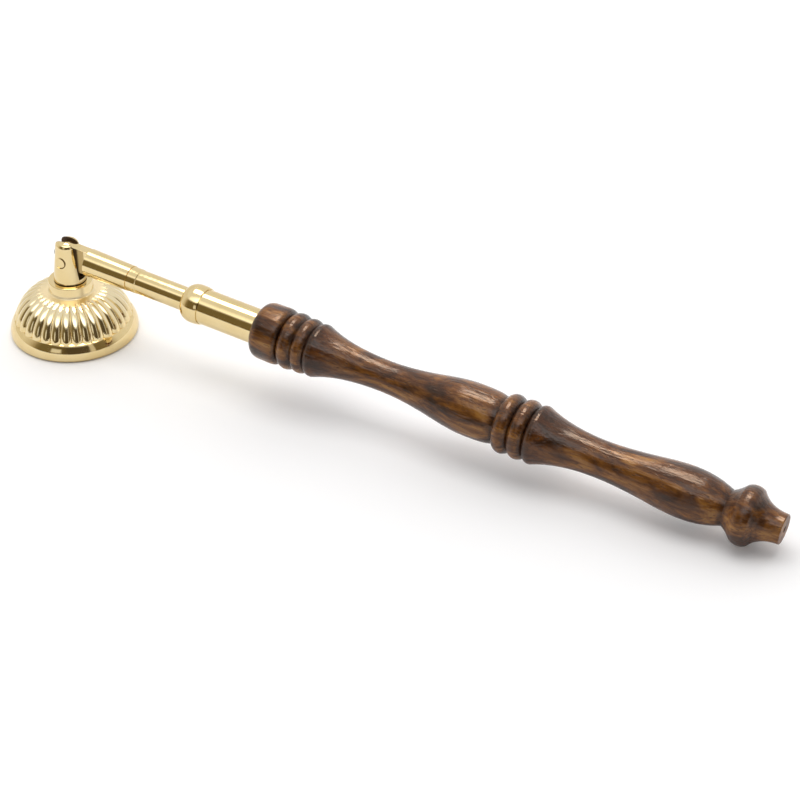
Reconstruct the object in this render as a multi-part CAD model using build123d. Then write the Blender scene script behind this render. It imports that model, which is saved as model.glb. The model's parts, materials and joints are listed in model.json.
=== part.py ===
from build123d import *
import os
from math import asin, atan2, cos, degrees, hypot, pi, sin

# Candle snuffer: a fluted brass bell hinged to a brass arm with a turned wooden handle.
# It lies as on a table: the bell stands on its rim and the finial touches the same surface.
# Z is up, X runs along the handle from the bell to the finial, and Y is the hinge axis.
# The origin is at the bottom centre of the bounding box. Lengths are in millimetres.

# Clearances shared by the fits
slip_clearance = 0.05
hinge_clearance = 0.04
slot_clearance = 0.12
overrun = 2.0

# Bell: plain rim, fluted dome that levels off at the top, and collar
rim_radius = 22.3
rim_foot_inset = 0.8
rim_edge_height = 1.0
rim_belly_height = 1.3
rim_top_inset = 1.7
rim_height = 6.0
ledge_rise = 0.3
flute_count = 32
flute_depth = 0.75
flute_sink = 1.2
dome_top_radius = 9.0
dome_width = 12.0
dome_base_height = 2.0
flute_end_share = 0.97
dome_wall = 1.55
crown_height = 16.4
collar_radius = 7.7
collar_height = 4.3
collar_edge = 0.35
collar_cove = 0.5

# Hinge post: a tapered, slotted pillar whose spigot is drawn into the collar by a screw
post_base_radius = 5.7
post_base_edge = 0.25
post_top_radius = 4.15
post_shaft_height = 12.9
post_dome_height = 2.6
slot_floor_height = 1.5
spigot_radius = 3.5
spigot_length = 4.6
pin_radius = 2.0
pin_height_on_post = 8.3
pin_end_inset = 0.05

# Crown screw inside the bell
screw_radius = 2.0
screw_length = 6.4
screw_head_radius = 3.8
screw_head_height = 2.2
screw_head_round = 0.9
screw_slot_width = 1.0
screw_slot_depth = 1.0

# Hinge arm, its joint ring and the stem behind it, measured along the arm from the pin
tongue_thickness = 3.4
tongue_radius = 4.6
arm_rise = 1.4
arm_shoulder = 7.9
arm_shoulder_slope = 1.3
arm_front_radius = 4.85
arm_rear_radius = 4.46
arm_length = 26.3
arm_spigot_radius = 2.5
arm_spigot_length = 10.0
ring_radius = 4.3
ring_length = 3.8
ring_edge = 0.2
stem_radius = 4.15
stem_length = 18.5

# Ferrule: a domed cap over a plain sleeve
cap_length = 7.4
cap_front_lip = 0.3
cap_radius = 6.74
cap_crown_share = 0.58
cap_rear_radius = 6.35
cap_socket_depth = 3.0
sleeve_radius = 6.03
sleeve_wall = 1.33
sleeve_length = 21.8

# Stud that ties the stem to the handle
stud_radius = 2.5
stud_in_stem = 9.0
stud_in_handle = 40.0

# Handle: turned from one piece of wood. The coves, swells and necks share what the beads leave
handle_length = 185.7
tenon_length = 22.0
ball_length = 10.5
ball_radius = 9.75
ball_face_radius = 7.5
ball_crest_share = 0.54
front_groove_radius = 8.1
front_bead_length = 5.4
front_bead_radius = 9.7
middle_groove_radius = 8.4
second_bead_length = 4.6
second_bead_radius = 9.4
rear_groove_radius = 8.1
front_lip_length = 2.6
front_lip_radius = 9.05
front_cove_share = 0.1885
front_waist_radius = 5.22
front_swell_share = 0.2452
front_bulb_radius = 8.85
front_neck_share = 0.0766
front_neck_radius = 7.8
grip_bead_length = 5.6
grip_bead_radius = 9.95
grip_groove_radius = 8.3
grip_second_bead_length = 5.4
rear_lip_length = 2.6
rear_lip_radius = 9.75
rear_cove_share = 0.1625
rear_waist_radius = 6.08
rear_swell_share = 0.2261
rear_bulb_radius = 8.5
rear_neck_radius = 5.9
finial_rise_length = 4.0
finial_edge_radius = 9.1
finial_crown_length = 5.0
finial_radius = 9.8
finial_tail_length = 9.1
end_radius = 4.95
end_round = 0.4
centre_mark_radius = 1.2
centre_mark_depth = 1.0

# Heights that follow from the bell and the post
collar_top = crown_height + collar_height
pin_height = collar_top + pin_height_on_post
flute_foot_height = rim_height + ledge_rise
dome_rise = crown_height - dome_base_height
cavity_drop = flute_depth + dome_wall
screw_seat = crown_height - cavity_drop

# Lengths that share the plain wood between the beads
plain_length = handle_length - (
    ball_length + front_bead_length + second_bead_length + front_lip_length + grip_bead_length
    + grip_second_bead_length + rear_lip_length + finial_rise_length + finial_crown_length
    + finial_tail_length + end_round
)
front_cove_length = front_cove_share * plain_length
front_swell_length = front_swell_share * plain_length
front_neck_length = front_neck_share * plain_length
rear_cove_length = rear_cove_share * plain_length
rear_swell_length = rear_swell_share * plain_length
rear_neck_length = plain_length - (
    front_cove_length + front_swell_length + front_neck_length + rear_cove_length + rear_swell_length
)

# Places along the arm that follow from the lengths, each measured from the pin
stem_start = arm_length + ring_length
cap_start = stem_start + stem_length
cap_end = cap_start + cap_length
sleeve_start = cap_end - cap_socket_depth
handle_start = cap_end + sleeve_length
tenon_start = handle_start - tenon_length
handle_end = handle_start + handle_length
finial_middle = handle_end - end_round - finial_tail_length - finial_crown_length / 2

# The arm slopes so that the rounded finial just touches the table
finial_drop = finial_radius - finial_edge_radius
finial_round = ((finial_crown_length / 2) ** 2 + finial_drop**2) / (2 * finial_drop)
finial_core = finial_radius - finial_round - arm_rise
slope = asin((pin_height - finial_round) / hypot(finial_middle, finial_core)) - atan2(
    finial_core, finial_middle
)

# Places in X: the bounding box is centred on the origin
tail_reach = handle_end * cos(slope) + (end_radius - end_round + arm_rise) * sin(slope)
pin_x = (rim_radius - tail_reach) / 2
head_place = Location((pin_x, 0, 0))
arm_place = Location((pin_x, 0, pin_height), (0, degrees(slope), 0)) * Location((0, 0, arm_rise))

# Directions of the turned profiles
upward = Vector(0, 0, 1)
downward = Vector(0, 0, -1)
inward = Vector(-1, 0, 0)
axial = Vector(1, 0, 0)


def upright(radius, height):
    """A point of a bell or post profile."""
    return Vector(radius, 0, height)


def along(distance, radius):
    """A point of a turned profile along the arm."""
    return Vector(distance, 0, radius)


def turned(edges, axis):
    """The solid of revolution of a closed profile."""
    return Solid.revolve(Face(Wire(edges)), 360, axis)


def closed(points):
    """Straight edges through points and back to the first."""
    return [Edge.make_line(a, b) for a, b in zip(points, points[1:] + points[:1])]


def cylinder_along(start, end, radius):
    """A plain cylinder on the axis of the arm."""
    corners = [along(start, 0), along(start, radius), along(end, radius), along(end, 0)]
    return turned(closed(corners), Axis.X)


def cylinder_upright(bottom, top, radius):
    """A plain cylinder on the axis of the bell."""
    corners = [upright(0, bottom), upright(radius, bottom), upright(radius, top), upright(0, top)]
    return turned(closed(corners), Axis.Z)


def dome_point(angle, drop):
    """Radius and height on the dome's outline, a quarter ellipse, a drop below the crests."""
    radius = dome_top_radius + (dome_width - drop) * cos(angle)
    return radius, dome_base_height + (dome_rise - drop) * sin(angle)


def fluted_ring(crest, valley):
    """A closed wire of round lobes, from the crest and valley points of one flute."""
    edges = []
    step = 2 * pi / flute_count

    def around(point, angle):
        return Vector(point[0] * cos(angle), point[0] * sin(angle), point[1])

    for index in range(flute_count):
        angle = index * step
        edges.append(
            Edge.make_three_point_arc(
                around(valley, angle), around(crest, angle + step / 2), around(valley, angle + step)
            )
        )
    return Wire(edges)


def fluted_dome():
    """The lobes, lofted from inside the rim over the dome, dying out before it levels off."""
    flute_shares = (0.0, 0.18, 0.36, 0.54, 0.7, 0.82, 0.92, 1.0)
    plain_shares = (0.5, 1.0)
    fade_power = 6
    sunk_angle = asin((flute_foot_height - flute_sink - dome_base_height) / dome_rise)
    foot_angle = asin((flute_foot_height - dome_base_height) / dome_rise)
    foot_radius = dome_point(foot_angle, 0)[0]
    sunk_crest = dome_point(sunk_angle, 0)
    sunk_valley = (sunk_crest[0] - flute_depth, sunk_crest[1])
    rings = [fluted_ring(sunk_crest, sunk_valley)]
    end_angle = foot_angle + flute_end_share * (pi / 2 - foot_angle)
    for share in flute_shares:
        angle = foot_angle + share * (end_angle - foot_angle)
        crest = dome_point(angle, 0)
        drop = flute_depth * (crest[0] / foot_radius) * (1 - share**fade_power)
        rings.append(fluted_ring(crest, dome_point(angle, drop)))
    for share in plain_shares:
        crest = dome_point(end_angle + share * (pi / 2 - end_angle), 0)
        rings.append(fluted_ring(crest, crest))
    return Solid.make_loft(rings)


def bell_rim():
    """The plain rim: flat foot, rounded edge, swelling side and a narrow sloped ledge."""
    foot = upright(rim_radius - rim_foot_inset, 0)
    edge = upright(rim_radius, rim_edge_height)
    belly = upright(rim_radius, rim_belly_height)
    top = upright(rim_radius - rim_top_inset, rim_height)
    ledge = upright(dome_top_radius + dome_width - 2 * flute_depth, flute_foot_height)
    profile = [
        Edge.make_line(upright(0, 0), foot),
        Edge.make_tangent_arc(edge, downward, foot),
        Edge.make_line(edge, belly),
        Edge.make_tangent_arc(belly, upward, top),
        Edge.make_line(top, ledge),
        Edge.make_line(ledge, upright(0, flute_foot_height)),
        Edge.make_line(upright(0, flute_foot_height), upright(0, 0)),
    ]
    return turned(profile, Axis.Z)


def bell_collar():
    """The drum-shaped collar that carries the post, coved into the crown of the dome."""
    cove_start = upright(collar_radius + collar_cove, crown_height)
    cove_end = upright(collar_radius, crown_height + collar_cove)
    shoulder = upright(collar_radius, collar_top - collar_edge)
    top = upright(collar_radius - collar_edge, collar_top)
    root = upright(collar_radius + collar_cove, screw_seat)
    profile = [
        Edge.make_line(upright(0, screw_seat), root),
        Edge.make_line(root, cove_start),
        Edge.make_tangent_arc(cove_start, inward, cove_end),
        Edge.make_line(cove_end, shoulder),
        Edge.make_tangent_arc(shoulder, upward, top),
        Edge.make_line(top, upright(0, collar_top)),
        Edge.make_line(upright(0, collar_top), upright(0, screw_seat)),
    ]
    return turned(profile, Axis.Z)


def bell_cavity():
    """The hollow under the dome: plain below, then following the dome to a flat ceiling."""
    wall_shares = (0.0, 0.25, 0.5, 0.75, 1.0)
    wall = [upright(*dome_point(share * pi / 2, cavity_drop)) for share in wall_shares]
    mouth = upright(wall[0].X, -overrun)
    profile = [
        Edge.make_line(upright(0, -overrun), mouth),
        Edge.make_line(mouth, wall[0]),
        Edge.make_spline(wall, tangents=[upward, inward]),
        Edge.make_line(wall[-1], upright(0, screw_seat)),
        Edge.make_line(upright(0, screw_seat), upright(0, -overrun)),
    ]
    return turned(profile, Axis.Z)


def make_bell():
    """The bell: rim, lobes and collar in one casting, hollow below and bored for the post."""
    socket = cylinder_upright(
        collar_top - spigot_length - slip_clearance, collar_top + overrun, spigot_radius + slip_clearance
    )
    screw_hole = cylinder_upright(0, collar_top, screw_radius + slip_clearance)
    return bell_rim() + fluted_dome() + bell_collar() - bell_cavity() - socket - screw_hole


def make_hinge_post():
    """The slotted pillar: tapered shaft with a low domed top, open slot and spigot."""
    shaft_top = collar_top + post_shaft_height
    dome_top = shaft_top + post_dome_height
    spigot_bottom = collar_top - spigot_length
    base_inner = upright(post_base_radius - post_base_edge, collar_top)
    base_outer = upright(post_base_radius, collar_top + post_base_edge)
    shaft_end = upright(post_top_radius, shaft_top)
    profile = [
        Edge.make_line(upright(0, spigot_bottom), upright(spigot_radius, spigot_bottom)),
        Edge.make_line(upright(spigot_radius, spigot_bottom), upright(spigot_radius, collar_top)),
        Edge.make_line(upright(spigot_radius, collar_top), base_inner),
        Edge.make_line(base_inner, base_outer),
        Edge.make_line(base_outer, shaft_end),
        Edge.make_spline([shaft_end, upright(0, dome_top)], tangents=[upward, inward]),
        Edge.make_line(upright(0, dome_top), upright(0, spigot_bottom)),
    ]
    slot = Pos(0, 0, collar_top + slot_floor_height) * Box(
        2 * post_base_radius + overrun,
        tongue_thickness + 2 * slot_clearance,
        dome_top + overrun - collar_top - slot_floor_height,
        align=(Align.CENTER, Align.CENTER, Align.MIN),
    )
    pin_hole = Pos(0, 0, pin_height) * Rot(90, 0, 0) * Cylinder(pin_radius, 2 * post_base_radius + overrun)
    thread = cylinder_upright(spigot_bottom, screw_seat + screw_length + slip_clearance, screw_radius)
    return turned(profile, Axis.Z) - slot - pin_hole - thread


def make_pivot_pin():
    """The plain hinge pin, its flat ends level with the round of the cheeks."""
    taper_share = (pin_height_on_post - post_base_edge) / (post_shaft_height - post_base_edge)
    cheek_radius = post_base_radius + taper_share * (post_top_radius - post_base_radius)
    return Pos(0, 0, pin_height) * Rot(90, 0, 0) * Cylinder(pin_radius, 2 * (cheek_radius - pin_end_inset))


def make_crown_screw():
    """The slotted round-head screw that draws the post onto the collar from inside the bell."""
    head_bottom = screw_seat - screw_head_height
    screw_end = screw_seat + screw_length
    head_face = upright(screw_head_radius - screw_head_round, head_bottom)
    head_edge = upright(screw_head_radius, head_bottom + screw_head_round)
    profile = [
        Edge.make_line(upright(0, head_bottom), head_face),
        Edge.make_tangent_arc(head_edge, downward, head_face),
        Edge.make_line(head_edge, upright(screw_head_radius, screw_seat)),
        Edge.make_line(upright(screw_head_radius, screw_seat), upright(screw_radius, screw_seat)),
        Edge.make_line(upright(screw_radius, screw_seat), upright(screw_radius, screw_end)),
        Edge.make_line(upright(screw_radius, screw_end), upright(0, screw_end)),
        Edge.make_line(upright(0, screw_end), upright(0, head_bottom)),
    ]
    slot = Pos(0, 0, head_bottom) * Box(
        2 * screw_head_radius + overrun,
        screw_slot_width,
        screw_slot_depth,
        align=(Align.CENTER, Align.CENTER, Align.MIN),
    )
    return turned(profile, Axis.Z) - slot


def make_hinge_arm():
    """The tapered round arm with a flat, round-ended tongue before a sloped shoulder, and a spigot behind.

    The pin is bored below the arm's axis, so that the arm lies a little above the pin."""
    profile = closed(
        [
            along(arm_shoulder, 0),
            along(arm_shoulder, tongue_thickness / 2),
            along(arm_shoulder + arm_shoulder_slope, arm_front_radius),
            along(arm_length, arm_rear_radius),
            along(arm_length, arm_spigot_radius),
            along(arm_length + arm_spigot_length, arm_spigot_radius),
            along(arm_length + arm_spigot_length, 0),
        ]
    )
    across = Rot(90, 0, 0)
    round_end = across * Cylinder(tongue_radius, tongue_thickness)
    cheek = Box(
        arm_shoulder + arm_shoulder_slope,
        tongue_thickness,
        2 * tongue_radius,
        align=(Align.MIN, Align.CENTER, Align.CENTER),
    )
    blank = cylinder_along(-tongue_radius, arm_shoulder + arm_shoulder_slope, arm_front_radius)
    tongue = (round_end + cheek) & blank
    bore = across * Cylinder(pin_radius + hinge_clearance, tongue_thickness + overrun)
    return turned(profile, Axis.X) + tongue - Pos(0, 0, -arm_rise) * bore


def make_arm_collar():
    """The short joint ring between the arm and the stem, its edges eased to show as fine lines."""
    end = arm_length + ring_length
    bore = arm_spigot_radius + slip_clearance
    profile = closed(
        [
            along(arm_length, bore),
            along(arm_length, ring_radius - ring_edge),
            along(arm_length + ring_edge, ring_radius),
            along(end - ring_edge, ring_radius),
            along(end, ring_radius - ring_edge),
            along(end, bore),
        ]
    )
    return turned(profile, Axis.X)


def make_stem():
    """The plain stem, bored in front for the arm and behind for the stud, ending in the ferrule."""
    front_bore = arm_length + arm_spigot_length + slip_clearance
    rod = cylinder_along(stem_start, tenon_start, stem_radius)
    arm_bore = cylinder_along(stem_start - overrun, front_bore, arm_spigot_radius + slip_clearance)
    stud_bore = cylinder_along(
        tenon_start - stud_in_stem - slip_clearance, tenon_start + overrun, stud_radius + slip_clearance
    )
    return rod - arm_bore - stud_bore


def make_ferrule_cap():
    """The domed cap, bored for the stem and counterbored for the sleeve."""
    front_slope_share = 0.5
    rear_slope_share = 0.4
    bore = stem_radius + slip_clearance
    lip = along(cap_start, stem_radius + cap_front_lip)
    crown = along(cap_start + cap_crown_share * cap_length, cap_radius)
    rear = along(cap_end, cap_rear_radius)
    socket = sleeve_radius + slip_clearance
    profile = [
        Edge.make_line(along(cap_start, bore), lip),
        Edge.make_spline([lip, crown], tangents=[Vector(front_slope_share, 0, 1), axial]),
        Edge.make_spline([crown, rear], tangents=[axial, Vector(1, 0, -rear_slope_share)]),
        Edge.make_line(rear, along(cap_end, socket)),
        Edge.make_line(along(cap_end, socket), along(sleeve_start, socket)),
        Edge.make_line(along(sleeve_start, socket), along(sleeve_start, bore)),
        Edge.make_line(along(sleeve_start, bore), along(cap_start, bore)),
    ]
    return turned(profile, Axis.X)


def make_ferrule_sleeve():
    """The plain tube that binds the tenon of the handle."""
    tube = cylinder_along(sleeve_start, handle_start, sleeve_radius)
    bore_radius = sleeve_radius - sleeve_wall
    return tube - cylinder_along(sleeve_start - overrun, handle_start + overrun, bore_radius)


def make_handle_stud():
    """The straight stud from the stem into the handle."""
    return cylinder_along(tenon_start - stud_in_stem, tenon_start + stud_in_handle, stud_radius)


def bead(start, end, crest_radius):
    """A turned bead: one arc between two grooves."""
    crest = along((start.X + end.X) / 2, crest_radius)
    return Edge.make_three_point_arc(start, crest, end)


def swell(lip, waist, bulb, neck):
    """A cove down to a waist, a long swell to a bulb and a short fall to a neck."""
    middle_place_share = 0.6
    middle_rise_share = 0.58
    lip_slope_share = 0.42
    neck_slope_share = 0.4
    middle = along(
        waist.X + middle_place_share * (bulb.X - waist.X), waist.Z + middle_rise_share * (bulb.Z - waist.Z)
    )
    return [
        Edge.make_spline([lip, waist], tangents=[Vector(1, 0, -lip_slope_share), axial]),
        Edge.make_spline([waist, middle, bulb], tangents=[axial, axial]),
        Edge.make_spline([bulb, neck], tangents=[axial, Vector(1, 0, -neck_slope_share)]),
    ]


def handle_profile():
    """The turned outline of the handle, from the tenon to the end face."""
    places = [handle_start]
    for length in (
        ball_length, front_bead_length, second_bead_length, front_lip_length, front_cove_length,
        front_swell_length, front_neck_length, grip_bead_length, grip_second_bead_length, rear_lip_length,
        rear_cove_length, rear_swell_length, rear_neck_length, finial_rise_length, finial_crown_length,
        finial_tail_length,
    ):
        places.append(places[-1] + length)
    radii = (
        ball_face_radius, front_groove_radius, middle_groove_radius, rear_groove_radius, front_lip_radius,
        front_waist_radius, front_bulb_radius, front_neck_radius, grip_groove_radius, grip_groove_radius,
        rear_lip_radius, rear_waist_radius, rear_bulb_radius, rear_neck_radius, finial_edge_radius,
        finial_edge_radius, end_radius,
    )
    (
        face, groove_1, groove_2, groove_3, lip_1, waist_1, bulb_1, neck_1, groove_4, groove_5,
        lip_2, waist_2, bulb_2, neck_2, finial_front, finial_rear, end_edge,
    ) = [along(place, radius) for place, radius in zip(places, radii)]
    ball_crest = along(face.X + ball_crest_share * ball_length, ball_radius)
    tenon_radius = sleeve_radius - sleeve_wall - slip_clearance
    end_face = along(handle_end, end_radius - end_round)
    edge_share = 0.3
    lip_share = 0.2
    neck_share = 0.5
    tail_share = 0.75
    edges = [
        Edge.make_line(along(tenon_start, 0), along(tenon_start, tenon_radius)),
        Edge.make_line(along(tenon_start, tenon_radius), along(handle_start, tenon_radius)),
        Edge.make_line(along(handle_start, tenon_radius), face),
        Edge.make_spline(
            [face, ball_crest, groove_1], tangents=[Vector(edge_share, 0, 1), Vector(edge_share, 0, -1)]
        ),
        bead(groove_1, groove_2, front_bead_radius),
        bead(groove_2, groove_3, second_bead_radius),
        Edge.make_tangent_arc(lip_1, Vector(-1, 0, lip_share), groove_3),
    ]
    edges += swell(lip_1, waist_1, bulb_1, neck_1)
    edges += [
        bead(neck_1, groove_4, grip_bead_radius),
        bead(groove_4, groove_5, grip_bead_radius),
        Edge.make_tangent_arc(lip_2, Vector(-1, 0, lip_share), groove_5),
    ]
    edges += swell(lip_2, waist_2, bulb_2, neck_2)
    edges += [
        Edge.make_spline([neck_2, finial_front], tangents=[Vector(1, 0, neck_share), Vector(1, 0, 1)]),
        bead(finial_front, finial_rear, finial_radius),
        Edge.make_spline([finial_rear, end_edge], tangents=[Vector(tail_share, 0, -1), axial]),
        Edge.make_tangent_arc(end_edge, axial, end_face),
        Edge.make_line(end_face, along(handle_end, 0)),
        Edge.make_line(along(handle_end, 0), along(tenon_start, 0)),
    ]
    return edges


def make_handle():
    """The turned wooden handle, bored for the stud, with the lathe's centre mark in its end."""
    stud_bore = cylinder_along(
        tenon_start - overrun, tenon_start + stud_in_handle + slip_clearance, stud_radius + slip_clearance
    )
    mark = turned(
        closed(
            [
                along(handle_end, 0),
                along(handle_end, centre_mark_radius),
                along(handle_end - centre_mark_depth, 0),
            ]
        ),
        Axis.X,
    )
    return turned(handle_profile(), Axis.X) - stud_bore - mark


head_nodes = {
    "bell": make_bell(),
    "hinge_post": make_hinge_post(),
    "pivot_pin": make_pivot_pin(),
    "crown_screw": make_crown_screw(),
}
arm_nodes = {
    "hinge_arm": make_hinge_arm(),
    "arm_collar": make_arm_collar(),
    "stem": make_stem(),
    "ferrule_cap": make_ferrule_cap(),
    "ferrule_sleeve": make_ferrule_sleeve(),
    "handle_stud": make_handle_stud(),
    "handle": make_handle(),
}

os.makedirs("parts", exist_ok=True)
for place, nodes in ((head_place, head_nodes), (arm_place, arm_nodes)):
    for name, shape in nodes.items():
        export_step(shape.moved(place), f"parts/{name}.step")
print("pin at", round(pin_x, 4), round(pin_height, 4), "slope", round(degrees(slope), 4))
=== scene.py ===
import json
import math
import bpy
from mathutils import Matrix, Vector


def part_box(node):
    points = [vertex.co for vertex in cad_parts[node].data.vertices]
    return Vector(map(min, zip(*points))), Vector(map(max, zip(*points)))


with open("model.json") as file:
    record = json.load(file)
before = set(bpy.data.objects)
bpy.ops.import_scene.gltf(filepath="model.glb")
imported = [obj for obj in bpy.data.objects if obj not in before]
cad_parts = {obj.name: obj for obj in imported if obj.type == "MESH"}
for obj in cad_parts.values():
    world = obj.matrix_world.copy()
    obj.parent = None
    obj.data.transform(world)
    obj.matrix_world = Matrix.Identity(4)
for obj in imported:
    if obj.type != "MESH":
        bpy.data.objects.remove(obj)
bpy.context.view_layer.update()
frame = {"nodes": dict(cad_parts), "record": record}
bpy.ops.object.select_all(action='DESELECT')

# Bell: the cup that is set over the flame. It is a thin cup of cast brass with round flutes on
# its dome, turned on its rim and collar and buffed to a mirror.
MM = 0.001
TINT_PATCH = 9 * MM
HAZE_PATCH = 5 * MM
BUFF_WAVE = 2.5 * MM
BUFF_DEPTH = 0.1 * MM
COLLAR_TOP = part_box("bell")[1][2]
COLLAR_WALL = 4.7 * MM
COLLAR_WEAR = 1.0 * MM
CROWN = COLLAR_TOP - 4.3 * MM
COVE_TOP = COLLAR_TOP - 3.2 * MM
DOME_PALE_FROM = 6.5 * MM
DOME_PALE_TO = 12.0 * MM
LEDGE_FROM = CROWN - 0.9 * MM
LEDGE_TO = CROWN - 0.3 * MM

# A Mix node's sockets share their names, so they are told apart by number: the first and second
# input and the output for each type of data.
MIX_SOCKETS = {'FLOAT': (2, 3, 0), 'RGBA': (6, 7, 2)}


def linear(hex_colour):
    channels = [int(hex_colour[place:place + 2], 16) / 255 for place in (1, 3, 5)]
    shares = [c / 12.92 if c <= 0.04045 else ((c + 0.055) / 1.055) ** 2.4 for c in channels]
    return (*shares, 1.0)


def add_node(tree, kind, values=None, links=None, stops=None, **settings):
    made = tree.nodes.new(kind)
    for name, value in settings.items():
        setattr(made, name, value)
    for socket, value in (values or {}).items():
        made.inputs[socket].default_value = value
    for socket, source in (links or {}).items():
        tree.links.new(source, made.inputs[socket])
    for index, (place, colour) in enumerate(stops or []):
        if index == len(made.color_ramp.elements):
            made.color_ramp.elements.new(place)
        made.color_ramp.elements[index].position = place
        made.color_ramp.elements[index].color = linear(colour)
    return made


def new_material(name):
    made = bpy.data.materials.new(name)
    made.use_nodes = True
    made.node_tree.nodes.clear()
    return made


def dress(node, material):
    piece = frame["nodes"][node]
    piece.data.materials.clear()
    piece.data.materials.append(material)


# Buffed brass: a pale yellow mirror. Buffing leaves it very slightly wavy, so straight
# reflections wander, and handling leaves a faint haze that dulls it in soft patches.
def buffed_brass(name):
    made = new_material(name)
    tree = made.node_tree
    place = add_node(tree, 'ShaderNodeTexCoord').outputs['Object']
    tint = add_node(tree, 'ShaderNodeTexNoise', {'Scale': 1 / TINT_PATCH, 'Detail': 3.0},
                    {'Vector': place})
    colour = add_node(tree, 'ShaderNodeValToRGB', links={'Fac': tint.outputs['Fac']},
                      stops=[(0.3, "#e8d098"), (0.7, "#efdaa8")])
    haze = add_node(tree, 'ShaderNodeTexNoise', {'Scale': 1 / HAZE_PATCH, 'Detail': 4.0},
                    {'Vector': place})
    gloss = add_node(tree, 'ShaderNodeMapRange',
                     {'From Min': 0.35, 'From Max': 0.7, 'To Min': 0.05, 'To Max': 0.13},
                     {'Value': haze.outputs['Fac']})
    waves = add_node(tree, 'ShaderNodeTexNoise', {'Scale': 1 / BUFF_WAVE, 'Detail': 1.0},
                     {'Vector': place})
    bump = add_node(tree, 'ShaderNodeBump', {'Strength': 0.12, 'Distance': BUFF_DEPTH},
                    {'Height': waves.outputs['Fac']})
    shader = add_node(tree, 'ShaderNodeBsdfPrincipled', {'Metallic': 1.0}, {
        'Base Color': colour.outputs['Color'],
        'Roughness': gloss.outputs['Result'],
        'Normal': bump.outputs['Normal']})
    add_node(tree, 'ShaderNodeOutputMaterial', links={'Surface': shader.outputs['BSDF']})
    return made, tree, place, shader


# Gives the brass another colour and roughness where the mask is 1, for tarnish, wear and satin.
def refinish(tree, shader, mask, colour, roughness):
    for socket, kind, finish in (('Base Color', 'RGBA', linear(colour)),
                                 ('Roughness', 'FLOAT', roughness)):
        first, second, out = MIX_SOCKETS[kind]
        before = shader.inputs[socket].links[0].from_socket
        mixed = add_node(tree, 'ShaderNodeMix', {second: finish}, {0: mask, first: before},
                         data_type=kind)
        tree.links.new(mixed.outputs[out], shader.inputs[socket])


# Buffed bell brass: as above. The wheel wore the collar's wall to a slight taper, so it shows
# the pale table and not the flutes below it. The dome is painted paler towards the crown, a
# painted highlight for the whiter sheen there. The cove round the collar, which the wheel
# can't reach, is left satin, with a pale colour that is painted reflection.
bell_brass, tree, place, shader = buffed_brass("buffed_brass_with_worn_collar")
axes = add_node(tree, 'ShaderNodeSeparateXYZ', links={'Vector': place})
wear = add_node(tree, 'ShaderNodeMapRange', {
    'From Min': COLLAR_TOP - COLLAR_WALL, 'From Max': COLLAR_TOP,
    'To Min': COLLAR_WEAR, 'To Max': 0.0}, {'Value': axes.outputs['Z']})
taper = add_node(tree, 'ShaderNodeBump', {'Strength': 1.0, 'Distance': 1.0}, {
    'Height': wear.outputs['Result'],
    'Normal': shader.inputs['Normal'].links[0].from_socket})
tree.links.new(taper.outputs['Normal'], shader.inputs['Normal'])
dome = add_node(tree, 'ShaderNodeMapRange',
                {'From Min': DOME_PALE_FROM, 'From Max': DOME_PALE_TO},
                {'Value': axes.outputs['Z']})
under = add_node(tree, 'ShaderNodeMath', {1: COVE_TOP}, {0: axes.outputs['Z']},
                 operation='LESS_THAN')
flutes = add_node(tree, 'ShaderNodeMath', operation='MULTIPLY',
                  links={0: dome.outputs['Result'], 1: under.outputs['Value']})
# Painted highlight: a paler colour up the dome towards the crown.
refinish(tree, shader, flutes.outputs['Value'], "#f2e2ba", 0.11)
cove = add_node(tree, 'ShaderNodeMapRange', {'From Min': LEDGE_FROM, 'From Max': LEDGE_TO},
                {'Value': axes.outputs['Z']})
ledge = add_node(tree, 'ShaderNodeMath', operation='MULTIPLY',
                 links={0: cove.outputs['Result'], 1: under.outputs['Value']})
# Painted reflection: a pale colour on the satin cove round the collar.
refinish(tree, shader, ledge.outputs['Value'], "#f1e1b9", 0.32)
dress("bell", bell_brass)

# Hinge post: a slotted brass pillar screwed down on the collar. The wheel never reached the
# inside of its slot or the joint at its foot, so both are brown with tarnish and old polish.
SLOT_HALF = 1.9 * MM
SLOT_DULL_FROM = COLLAR_TOP + 1.5 * MM
SLOT_DULL_TO = COLLAR_TOP + 4.0 * MM
FOOT_LINE_FROM = COLLAR_TOP + 0.4 * MM
FOOT_LINE_TO = COLLAR_TOP + 0.22 * MM

# Buffed brass, tarnished in the slot: the mirror outside, dull brown walls inside the slot that
# get lighter towards its floor, and a thin dark line round the foot.
slotted_brass, tree, place, shader = buffed_brass("buffed_brass_tarnished_in_slot")
axes = add_node(tree, 'ShaderNodeSeparateXYZ', links={'Vector': place})
across = add_node(tree, 'ShaderNodeMath', links={0: axes.outputs['Y']}, operation='ABSOLUTE')
in_slot = add_node(tree, 'ShaderNodeMath', {1: SLOT_HALF}, {0: across.outputs['Value']},
                   operation='LESS_THAN')
depth = add_node(tree, 'ShaderNodeMapRange',
                 {'From Min': SLOT_DULL_FROM, 'From Max': SLOT_DULL_TO, 'To Min': 0.3},
                 {'Value': axes.outputs['Z']})
slot_wall = add_node(tree, 'ShaderNodeMath', operation='MULTIPLY',
                     links={0: in_slot.outputs['Value'], 1: depth.outputs['Result']})
# The brown fades towards the slot's floor: painted light where the slot's foot lies in shade.
refinish(tree, shader, slot_wall.outputs['Value'], "#574638", 0.5)
foot = add_node(tree, 'ShaderNodeMapRange',
                {'From Min': FOOT_LINE_FROM, 'From Max': FOOT_LINE_TO},
                {'Value': axes.outputs['Z']})
refinish(tree, shader, foot.outputs['Result'], "#3a2a18", 0.5)
dress("hinge_post", slotted_brass)

# Crown screw: a slotted brass screw inside the bell that draws the post down on the collar.
# It was buffed with the rest before it went in, and has the plain mirror finish.
polished_brass = buffed_brass("buffed_brass")[0]
dress("crown_screw", polished_brass)
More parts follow.
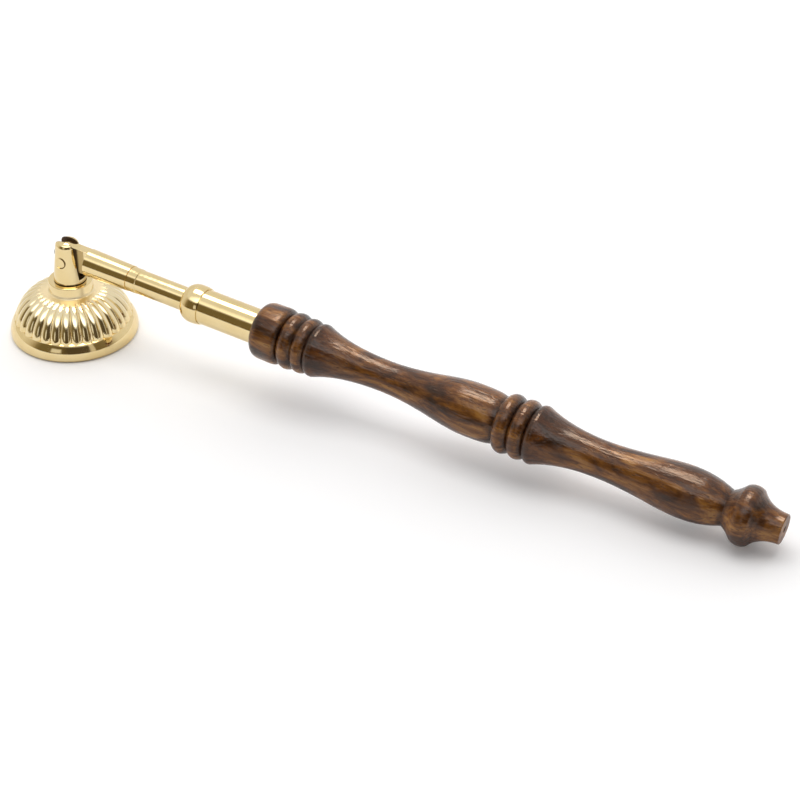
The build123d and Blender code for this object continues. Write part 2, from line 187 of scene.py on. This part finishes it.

# Pivot pin: a plain brass pin peened into the cheeks and filed level with them. The fine gap
# round its ends gets a thin crescent of painted shadow on one side.
PIN_X, PIN_Z = [frame["record"]["behaviour"]["joints"][0]["pos_m"][axis] for axis in (0, 2)]
PIN_RADIUS = 2.0 * MM
PIN_EDGE_FROM = PIN_RADIUS - 0.45 * MM
PIN_EDGE_TO = PIN_RADIUS - 0.25 * MM
PIN_EDGE_FADE = 0.6 * MM

# Filed brass with painted shadow: the mirror again, with a thin brown crescent of shadow at the
# rim.
pin_brass, tree, place, shader = buffed_brass("filed_brass_with_painted_shadow_edge")
from_pin = add_node(tree, 'ShaderNodeVectorMath', {1: (PIN_X, 0.0, PIN_Z)}, {0: place},
                    operation='SUBTRACT')
flat = add_node(tree, 'ShaderNodeVectorMath', {1: (1.0, 0.0, 1.0)},
                {0: from_pin.outputs['Vector']}, operation='MULTIPLY')
reach = add_node(tree, 'ShaderNodeVectorMath', links={0: flat.outputs['Vector']},
                 operation='LENGTH')
edge = add_node(tree, 'ShaderNodeMapRange',
                {'From Min': PIN_EDGE_FROM, 'From Max': PIN_EDGE_TO},
                {'Value': reach.outputs['Value']})
sides = add_node(tree, 'ShaderNodeSeparateXYZ', links={'Vector': from_pin.outputs['Vector']})
behind = add_node(tree, 'ShaderNodeMapRange',
                  {'From Min': -PIN_EDGE_FADE, 'From Max': PIN_EDGE_FADE},
                  {'Value': sides.outputs['X']})
crescent = add_node(tree, 'ShaderNodeMath', operation='MULTIPLY',
                    links={0: edge.outputs['Result'], 1: behind.outputs['Result']})
# The crescent is painted shadow in the gap on one side of the pin's end.
refinish(tree, shader, crescent.outputs['Value'], "#6b5430", 0.4)
dress("pivot_pin", pin_brass)

# Hinge arm: a tapered brass rod with a flat tongue that turns on the pin. The sides of the tongue
# rub in the slot, so they are dull, and brown near the pin: tarnish where they stay inside it,
# and painted shadow of the cheeks just outside it.
TONGUE_REACH = 7.9 * MM
SLOT_REACH = 5.2 * MM
FLANK_FACING = 0.97
UNDERSIDE_FROM = -0.45
UNDERSIDE_TO = -0.7

# Buffed brass, rubbed on the tongue: the mirror on the rod, dull tan on the tongue's flat sides
# and brown near the pin, partly painted shadow, and a satin along the underside, which the wheel
# only brushed, with a paler colour that is painted reflection.
arm_brass, tree, place, shader = buffed_brass("buffed_brass_rubbed_on_tongue")
from_pin = add_node(tree, 'ShaderNodeVectorMath', {1: (PIN_X, 0.0, PIN_Z)}, {0: place},
                    operation='SUBTRACT')
sides = add_node(tree, 'ShaderNodeSeparateXYZ', links={'Vector': from_pin.outputs['Vector']})
normal = add_node(tree, 'ShaderNodeNewGeometry')
facing = add_node(tree, 'ShaderNodeSeparateXYZ', links={'Vector': normal.outputs['True Normal']})
sideways = add_node(tree, 'ShaderNodeMath', links={0: facing.outputs['Y']}, operation='ABSOLUTE')
flank = add_node(tree, 'ShaderNodeMath', {1: FLANK_FACING}, {0: sideways.outputs['Value']},
                 operation='GREATER_THAN')
front = add_node(tree, 'ShaderNodeMath', {1: TONGUE_REACH}, {0: sides.outputs['X']},
                 operation='LESS_THAN')
rubbed = add_node(tree, 'ShaderNodeMath', operation='MULTIPLY',
                  links={0: flank.outputs['Value'], 1: front.outputs['Value']})
refinish(tree, shader, rubbed.outputs['Value'], "#c3ab78", 0.4)
inside = add_node(tree, 'ShaderNodeMapRange',
                  {'From Min': SLOT_REACH + 0.6 * MM, 'From Max': SLOT_REACH - 0.2 * MM},
                  {'Value': sides.outputs['X']})
slot_tarnish_and_shadow = add_node(tree, 'ShaderNodeMath', operation='MULTIPLY',
                  links={0: rubbed.outputs['Value'], 1: inside.outputs['Result']})
# Brown near the pin: tarnish inside the slot, and painted shadow of the cheek edge outside it.
refinish(tree, shader, slot_tarnish_and_shadow.outputs['Value'], "#4a3a26", 0.5)
underside = add_node(tree, 'ShaderNodeMapRange',
                     {'From Min': UNDERSIDE_FROM, 'From Max': UNDERSIDE_TO},
                     {'Value': facing.outputs['Z']})
# Painted reflection: a paler colour on the downward faces of the rod.
refinish(tree, shader, underside.outputs['Result'], "#f3e6c4", 0.3)
dress("hinge_arm", arm_brass)

# Arm collar, stem and ferrule: a ring and a rod behind the arm, and the domed cap and plain
# sleeve that carry the wood. All were turned from brass bar and buffed to the same mirror.
for name in ("arm_collar", "stem", "ferrule_cap", "ferrule_sleeve"):
    dress(name, polished_brass)

# Stud: a plain steel rod hidden in the ferrule and the handle, screwed in as it was cut.
# Nobody sees it once the handle is on, so it was never finished.
STEEL_GRAIN = 2 * MM

# Drawn steel: grey, with a fine uneven sheen from the die.
plain_steel = new_material("drawn_steel")
tree = plain_steel.node_tree
place = add_node(tree, 'ShaderNodeTexCoord').outputs['Object']
grain = add_node(tree, 'ShaderNodeTexNoise', {'Scale': 1 / STEEL_GRAIN}, {'Vector': place})
colour = add_node(tree, 'ShaderNodeValToRGB', links={'Fac': grain.outputs['Fac']},
                  stops=[(0.3, "#8a8c8e"), (0.7, "#a9abac")])
shader = add_node(tree, 'ShaderNodeBsdfPrincipled', {'Metallic': 1.0, 'Roughness': 0.35},
                  {'Base Color': colour.outputs['Color']})
add_node(tree, 'ShaderNodeOutputMaterial', links={'Surface': shader.outputs['BSDF']})
dress("handle_stud", plain_steel)

# Handle: one turned piece of dark rosewood with bead rings, coves and swells. It was stained,
# lacquered and rubbed down a little, so the open grain still shows through the shine.
SLOPE = math.radians(4.701)
PATCH = 6.0 * MM
FIBRE = 1.2 * MM
PORE = 0.45 * MM
GRAIN_DEPTH = 0.3 * MM

# Stain and painted shade by millimetres along the handle. It darkens the grooves between the
# beads, partly as stain gathered there and partly as painted shade, carries painted shade out
# over the lips behind them, and darkens the neck of the finial the same way.
BARE = "#ffffff"
GROOVE_STAIN_AND_SHADE = "#6b5a50"
STAIN_AND_SHADE_FROM = -42.4
STAIN_AND_SHADE_TO = 137.6
STAIN_AND_SHADE = (
    (-35.4, BARE), (-34.1, GROOVE_STAIN_AND_SHADE), (-32.8, BARE),
    (-30.0, BARE), (-28.7, GROOVE_STAIN_AND_SHADE), (-27.4, BARE),
    (-25.4, BARE), (-24.1, GROOVE_STAIN_AND_SHADE), (-19.4, "#b09a8c"), (-6.4, BARE),
    (43.8, BARE), (45.1, GROOVE_STAIN_AND_SHADE), (46.4, BARE),
    (49.4, BARE), (50.7, GROOVE_STAIN_AND_SHADE), (52.0, BARE),
    (54.8, BARE), (56.1, GROOVE_STAIN_AND_SHADE), (60.6, "#b8a294"), (71.6, BARE),
    (120.6, BARE), (122.6, "#9a8678"), (124.6, BARE))

# Lacquered rosewood: red brown heartwood clouded with amber and dark streaks that run with the
# handle, short dark pores, and a clear gloss that the raised grain breaks up. The end is duller.
FIRST, SECOND, MIXED = MIX_SOCKETS['RGBA']
lacquered_wood = new_material("stained_and_lacquered_rosewood")
tree = lacquered_wood.node_tree
place = add_node(tree, 'ShaderNodeTexCoord').outputs['Object']
along = add_node(tree, 'ShaderNodeMapping', {'Rotation': (0.0, -SLOPE, 0.0)},
                 {'Vector': place}).outputs['Vector']
patch_place = add_node(tree, 'ShaderNodeMapping', {'Scale': (0.35, 1.0, 1.0)}, {'Vector': along})
patches = add_node(tree, 'ShaderNodeTexNoise',
                   {'Scale': 1 / PATCH, 'Detail': 5.0, 'Roughness': 0.6, 'Distortion': 0.6},
                   {'Vector': patch_place.outputs['Vector']})
figure = add_node(tree, 'ShaderNodeValToRGB', links={'Fac': patches.outputs['Fac']}, stops=[
    (0.35, "#2b1204"), (0.44, "#4f2c0e"), (0.52, "#774b1d"), (0.6, "#98692e"), (0.71, "#ad8044")])
fibre_place = add_node(tree, 'ShaderNodeMapping', {'Scale': (0.07, 1.0, 1.0)}, {'Vector': along})
fibres = add_node(tree, 'ShaderNodeTexNoise',
                  {'Scale': 1 / FIBRE, 'Detail': 3.0, 'Roughness': 0.6},
                  {'Vector': fibre_place.outputs['Vector']})
fibre_shade = add_node(tree, 'ShaderNodeValToRGB', links={'Fac': fibres.outputs['Fac']},
                       stops=[(0.36, "#b89f8f"), (0.54, "#fbf4f0")])
grained = add_node(tree, 'ShaderNodeMix', {0: 1.0}, {
    FIRST: figure.outputs['Color'], SECOND: fibre_shade.outputs['Color']},
    data_type='RGBA', blend_type='MULTIPLY')
pore_place = add_node(tree, 'ShaderNodeMapping', {'Scale': (0.16, 1.0, 1.0)}, {'Vector': along})
pores = add_node(tree, 'ShaderNodeTexNoise', {'Scale': 1 / PORE, 'Detail': 1.0},
                 {'Vector': pore_place.outputs['Vector']})
pore_mask = add_node(tree, 'ShaderNodeMapRange',
                     {'From Min': 0.63, 'From Max': 0.7, 'To Max': 0.6},
                     {'Value': pores.outputs['Fac']})
station = add_node(tree, 'ShaderNodeSeparateXYZ', links={'Vector': along})
reach = add_node(tree, 'ShaderNodeMapRange',
                 {'From Min': STAIN_AND_SHADE_FROM * MM, 'From Max': STAIN_AND_SHADE_TO * MM},
                 {'Value': station.outputs['X']})
# Painted shade in the grooves, over the lips and at the finial's neck, together with stain.
stain_and_shade = add_node(tree, 'ShaderNodeValToRGB', links={'Fac': reach.outputs['Result']}, stops=[
    ((spot - STAIN_AND_SHADE_FROM) / (STAIN_AND_SHADE_TO - STAIN_AND_SHADE_FROM), colour) for spot, colour in STAIN_AND_SHADE])
stained_and_shaded = add_node(tree, 'ShaderNodeMix', {0: 1.0}, {
    FIRST: grained.outputs[MIXED], SECOND: stain_and_shade.outputs['Color']},
    data_type='RGBA', blend_type='MULTIPLY')
wood = add_node(tree, 'ShaderNodeMix', {SECOND: linear("#1e0c02")}, {
    0: pore_mask.outputs['Result'], FIRST: stained_and_shaded.outputs[MIXED]}, data_type='RGBA')
relief = add_node(tree, 'ShaderNodeMath', {1: 0.3}, {0: pore_mask.outputs['Result']},
                  operation='MULTIPLY')
raised = add_node(tree, 'ShaderNodeMath', operation='SUBTRACT',
                  links={0: fibres.outputs['Fac'], 1: relief.outputs['Value']})
bump = add_node(tree, 'ShaderNodeBump', {'Strength': 0.7, 'Distance': GRAIN_DEPTH},
                {'Height': raised.outputs['Value']})
normal = add_node(tree, 'ShaderNodeNewGeometry')
endwise = add_node(tree, 'ShaderNodeVectorMath',
                   {1: (math.cos(SLOPE), 0.0, -math.sin(SLOPE))},
                   {0: normal.outputs['True Normal']}, operation='DOT_PRODUCT')
gloss = add_node(tree, 'ShaderNodeMapRange',
                 {'From Min': 0.95, 'From Max': 0.9, 'To Min': 0.15, 'To Max': 0.72},
                 {'Value': endwise.outputs['Value']})
shader = add_node(tree, 'ShaderNodeBsdfPrincipled', {
    'Roughness': 0.42, 'Specular IOR Level': 0.26,
    'Specular Tint': linear("#ffc690"), 'Coat Roughness': 0.04}, {
    'Base Color': wood.outputs[MIXED],
    'Normal': bump.outputs['Normal'],
    'Coat Weight': gloss.outputs['Result'],
    'Coat Normal': bump.outputs['Normal']})
add_node(tree, 'ShaderNodeOutputMaterial', links={'Surface': shader.outputs['BSDF']})
dress("handle", lacquered_wood)

# Floor: a wide sheet of matt white paper under the object. Camera rays get a little more white,
# so that it leaves no tone of its own around the shadow.
PAPER_SIDE = 0.9
PAPER_LIFT = 0.09
bpy.ops.mesh.primitive_plane_add(size=PAPER_SIDE, location=(0.0, 0.0, 0.0))
floor = bpy.context.object
floor.name = "paper_floor"

# Matt white paper: even and without shine, so that only the shadow shows on it.
paper = new_material("matt_white_paper")
tree = paper.node_tree
ray = add_node(tree, 'ShaderNodeLightPath')
sheet = add_node(tree, 'ShaderNodeBsdfDiffuse', {'Color': linear("#fbfafa")})
lift = add_node(tree, 'ShaderNodeMath', {1: PAPER_LIFT}, {0: ray.outputs['Is Camera Ray']},
                operation='MULTIPLY')
glow = add_node(tree, 'ShaderNodeEmission', {'Color': linear("#ffffff")},
                {'Strength': lift.outputs['Value']})
both = add_node(tree, 'ShaderNodeAddShader',
                links={0: sheet.outputs['BSDF'], 1: glow.outputs['Emission']})
add_node(tree, 'ShaderNodeOutputMaterial', links={'Surface': both.outputs['Shader']})
floor.data.materials.append(paper)

# Studio: a white tent, open to a darker room behind the camera with a window and a door ajar.
# Mirrors see the tent, the room, and a front and a top lamp on the tent. Matt surfaces get a
# plain fill that is stronger from the back, and a softbox overhead.
VIEW_TURN = math.radians(28.8300)
VIEW_DOWN = math.radians(34.3836)
BELL_TURN = VIEW_TURN + 0.19

# The room's walls, by degrees round from the line between the bell and the camera.
ROOM_REACH = 110
ROOM = (
    (-105, "#e8e4dc"), (-88, "#ccc2b0"), (-80, "#a99c82"), (-75, "#8b7e60"),
    (-68, "#756848"), (-52, "#756848"), (-28, "#66593c"), (-18, "#544a3b"),
    (20, "#584e3e"), (21.5, "#d5d0c9"), (29, "#d5d0c9"), (31, "#776a4e"),
    (56, "#82755b"), (66, "#c4bcae"), (75, "#e3e0dc"), (90, "#eeecea"))
ROOM_TOP = (0.58, 0.72)

# Each lamp and the window fade in over the first two values and out over the last two: degrees
# round, or a part of the direction's length.
WINDOW_TURN = (-48, -46, -31, -28)
WINDOW_HEIGHT = (0.02, 0.14, 0.36, 0.48)
FRONT_LAMP_TURN = (-88, -48, 10, 45)
FRONT_LAMP_HEIGHT = (0.6, 0.7, 0.86, 0.97)
TOP_LAMP_X = (-0.4, -0.32, 0.05, 0.15)
TOP_LAMP_Y = (0.03, 0.12, 0.38, 0.47)
TENT_LEVEL = 0.86
FRONT_LAMP_LEVEL = 1.5
TOP_LAMP_LEVEL = 13.0
world = bpy.data.worlds.new("studio")
bpy.context.scene.world = world
world.use_nodes = True
tree = world.node_tree
tree.nodes.clear()


def between(value, edges):
    rise = add_node(tree, 'ShaderNodeMapRange', {'From Min': edges[0], 'From Max': edges[1]},
                    {'Value': value})
    fall = add_node(tree, 'ShaderNodeMapRange', {'From Min': edges[3], 'From Max': edges[2]},
                    {'Value': value})
    return add_node(tree, 'ShaderNodeMath', operation='MULTIPLY', links={
        0: rise.outputs['Result'], 1: fall.outputs['Result']}).outputs['Value']


ray = add_node(tree, 'ShaderNodeLightPath')
direction = add_node(tree, 'ShaderNodeTexCoord').outputs['Generated']
turned = add_node(tree, 'ShaderNodeVectorRotate', {'Angle': -BELL_TURN}, {'Vector': direction},
                  rotation_type='Z_AXIS')
ahead = add_node(tree, 'ShaderNodeVectorMath', {1: (1.0, -1.0, 1.0)},
                 {0: turned.outputs['Vector']}, operation='MULTIPLY')
axes = add_node(tree, 'ShaderNodeSeparateXYZ', links={'Vector': ahead.outputs['Vector']})
height = axes.outputs['Z']
turn = add_node(tree, 'ShaderNodeMath', operation='ARCTAN2',
                links={0: axes.outputs['X'], 1: axes.outputs['Y']})
degrees = add_node(tree, 'ShaderNodeMath', {1: math.degrees(1.0)}, {0: turn.outputs['Value']},
                   operation='MULTIPLY').outputs['Value']
share = add_node(tree, 'ShaderNodeMapRange', {'From Min': -ROOM_REACH, 'From Max': ROOM_REACH},
                 {'Value': degrees})
walls = add_node(tree, 'ShaderNodeValToRGB', links={'Fac': share.outputs['Result']}, stops=[
    ((spot + ROOM_REACH) / (2 * ROOM_REACH), colour) for spot, colour in ROOM])
in_window = add_node(tree, 'ShaderNodeMath', operation='MULTIPLY', links={
    0: between(degrees, WINDOW_TURN), 1: between(height, WINDOW_HEIGHT)})
room = add_node(tree, 'ShaderNodeMix', {SECOND: linear("#e6e4e0")}, {
    0: in_window.outputs['Value'], FIRST: walls.outputs['Color']}, data_type='RGBA')
front_lamp = add_node(tree, 'ShaderNodeMath', operation='MULTIPLY', links={
    0: between(degrees, FRONT_LAMP_TURN), 1: between(height, FRONT_LAMP_HEIGHT)})
overhead = add_node(tree, 'ShaderNodeSeparateXYZ', links={'Vector': direction})
top_lamp = add_node(tree, 'ShaderNodeMath', operation='MULTIPLY', links={
    0: between(overhead.outputs['X'], TOP_LAMP_X),
    1: between(overhead.outputs['Y'], TOP_LAMP_Y)})
with_front = add_node(tree, 'ShaderNodeMath', {1: FRONT_LAMP_LEVEL, 2: TENT_LEVEL},
                      {0: front_lamp.outputs['Value']}, operation='MULTIPLY_ADD')
tent_level = add_node(tree, 'ShaderNodeMath', {1: TOP_LAMP_LEVEL}, {
    0: top_lamp.outputs['Value'], 2: with_front.outputs['Value']}, operation='MULTIPLY_ADD')
lamp_colour = add_node(tree, 'ShaderNodeMix',
                       {FIRST: linear("#ffffff"), SECOND: linear("#ffe6cc")},
                       {0: top_lamp.outputs['Value']}, data_type='RGBA')
tent = add_node(tree, 'ShaderNodeBackground', links={
    'Color': lamp_colour.outputs[MIXED], 'Strength': tent_level.outputs['Value']})
dim = add_node(tree, 'ShaderNodeBackground', links={'Color': room.outputs[MIXED]})
above = add_node(tree, 'ShaderNodeMapRange', {'From Min': ROOM_TOP[0], 'From Max': ROOM_TOP[1]},
                 {'Value': height})
mirrored = add_node(tree, 'ShaderNodeMixShader', links={
    'Fac': above.outputs['Result'], 1: dim.outputs['Background'], 2: tent.outputs['Background']})
from_back = add_node(tree, 'ShaderNodeMapRange',
                     {'From Min': -0.6, 'From Max': 0.5, 'To Min': 2.0, 'To Max': 0.1},
                     {'Value': axes.outputs['Y']})
from_sides = add_node(tree, 'ShaderNodeMath', {1: -0.5, 2: 1.1}, {0: height},
                      operation='MULTIPLY_ADD')
fill_level = add_node(tree, 'ShaderNodeMath', operation='MULTIPLY', links={
    0: from_back.outputs['Result'], 1: from_sides.outputs['Value']})
fill = add_node(tree, 'ShaderNodeBackground', {'Color': linear("#ffffff")},
                {'Strength': fill_level.outputs['Value']})
white = add_node(tree, 'ShaderNodeBackground', {'Color': linear("#ffffff"), 'Strength': 1.0})
lit = add_node(tree, 'ShaderNodeMixShader', links={
    'Fac': ray.outputs['Is Glossy Ray'],
    1: fill.outputs['Background'], 2: mirrored.outputs['Shader']})
seen = add_node(tree, 'ShaderNodeMixShader', links={
    'Fac': ray.outputs['Is Camera Ray'],
    1: lit.outputs['Shader'], 2: white.outputs['Background']})
add_node(tree, 'ShaderNodeOutputWorld', links={'Surface': seen.outputs['Shader']})

bpy.ops.object.light_add(type='AREA', location=(-0.1, 0.1, 1.8))
softbox = bpy.context.object
softbox.name = "overhead_softbox"
softbox.data.shape = 'RECTANGLE'
softbox.data.size = 1.7
softbox.data.size_y = 1.1
softbox.data.energy = 11.0
softbox.visible_glossy = False

# Camera: stands where the photograph was taken from, above and to the right of the bell.
# Its place, turn and lens were fitted to the outline in the photograph.
CAMERA_PLACE = (0.293029, -0.514303, 0.414263)
bpy.ops.object.camera_add(location=CAMERA_PLACE,
                          rotation=(math.pi / 2 - VIEW_DOWN, 0.0, VIEW_TURN))
camera = bpy.context.object
camera.data.sensor_width = 36.0
camera.data.lens = 98.5585
bpy.context.scene.camera = camera
bpy.context.scene.view_settings.view_transform = 'Standard'
